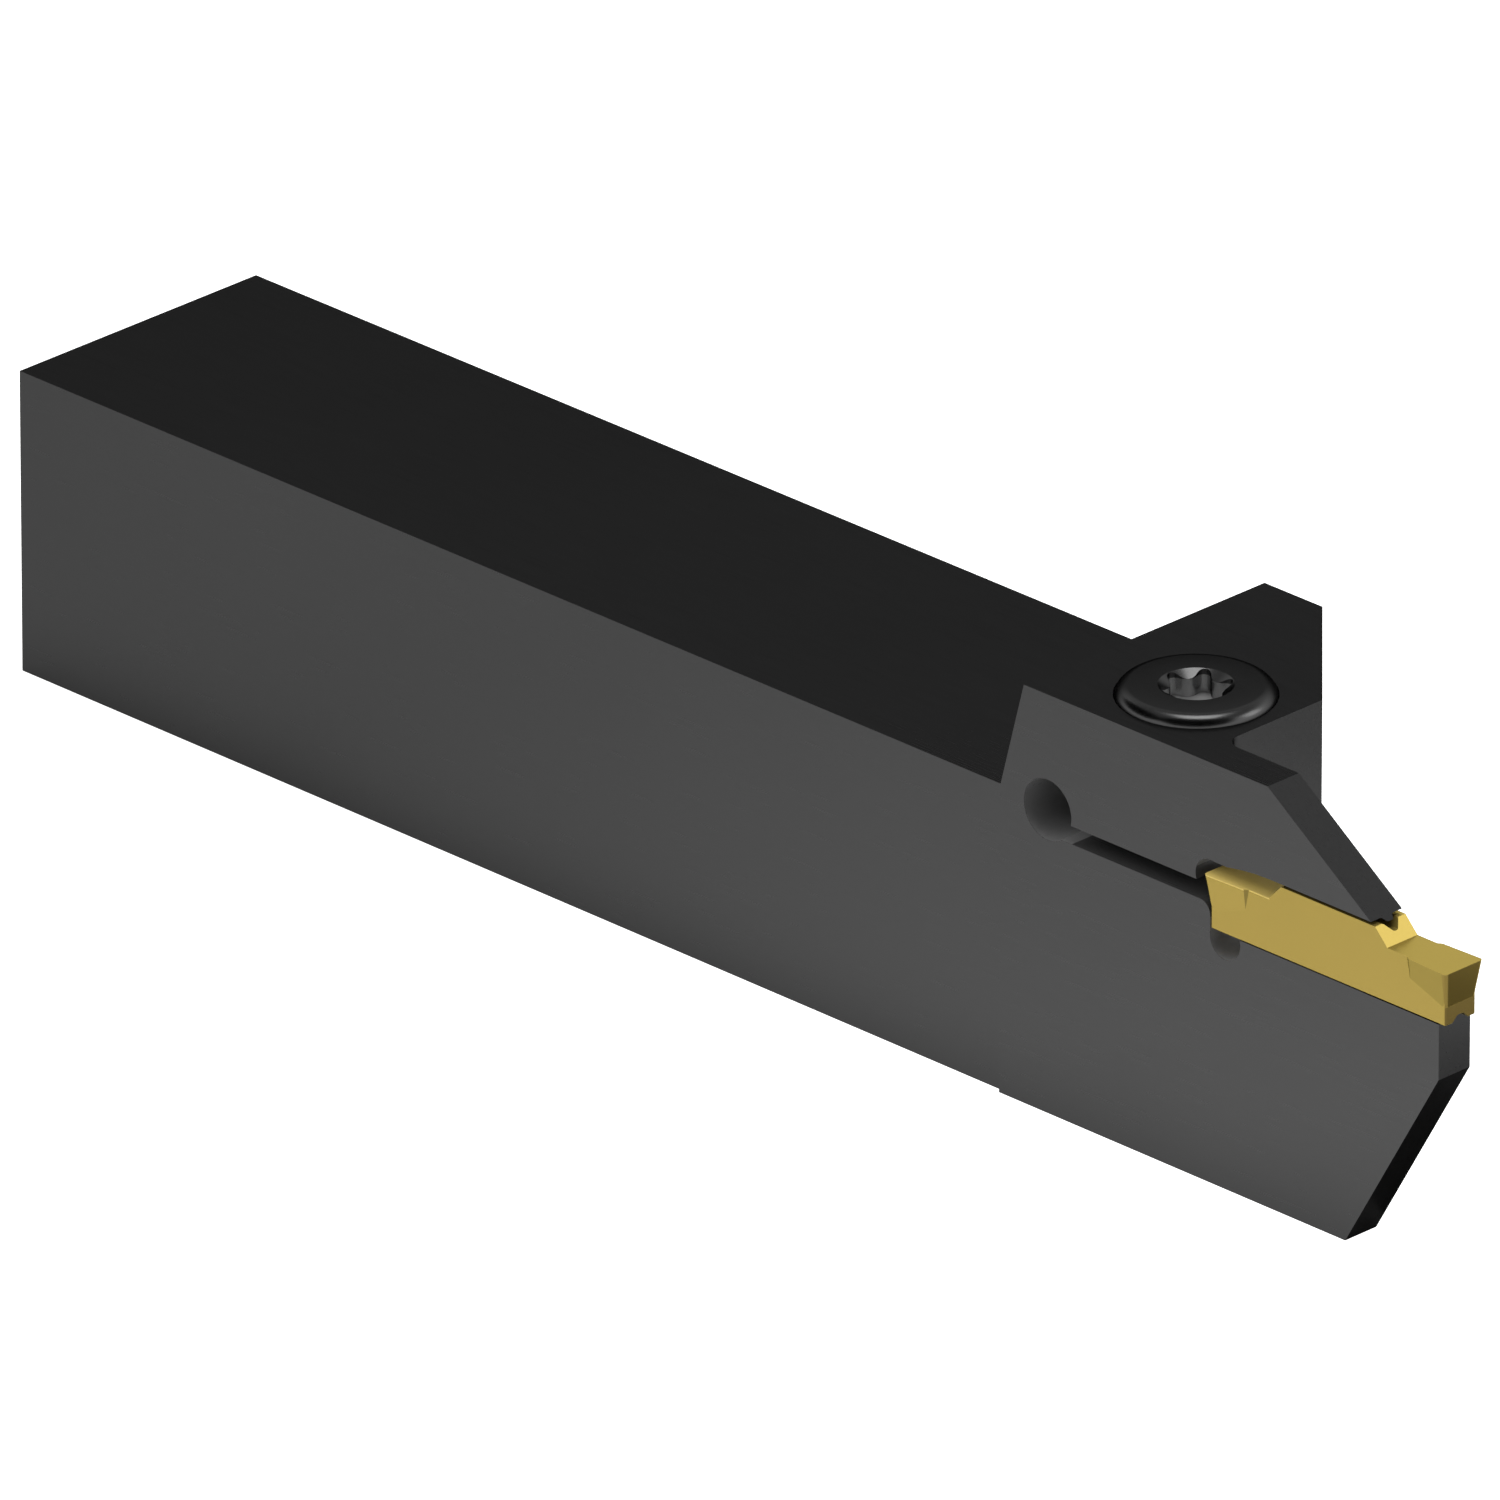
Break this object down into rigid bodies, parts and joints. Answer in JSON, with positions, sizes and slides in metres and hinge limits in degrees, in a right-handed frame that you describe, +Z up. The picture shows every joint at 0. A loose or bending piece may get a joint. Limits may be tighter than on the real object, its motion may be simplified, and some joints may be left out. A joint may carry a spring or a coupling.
{
  "type": "grooving tool holder",
  "caption": "Square shank turning tool holder with a slotted clamp head, a thin blade, a double ended grooving insert and a round head clamp screw.",
  "frame": {"origin": "middle of the shank's rear bottom edge, on the face the shank is seated on", "axes": "+X along the shank from its rear end to the cutting edge, +Z up from the shank's seat to the side the insert cuts on, -Y to the near side the blade is flush with"},
  "size_m": [0.1507, 0.0257, 0.0349],
  "materials": {
    "blackened_steel": "blackened tool steel, even and dull",
    "screw_steel": "blackened alloy steel, smooth and slightly shiny",
    "coated_carbide": "gold coloured hard coating on sintered carbide, satin"
  },
  "bodies": {
    "root": {"holder_body": "blackened_steel", "clamp_screw": "screw_steel", "grooving_insert": "coated_carbide"}
  },
  "joints": []
}
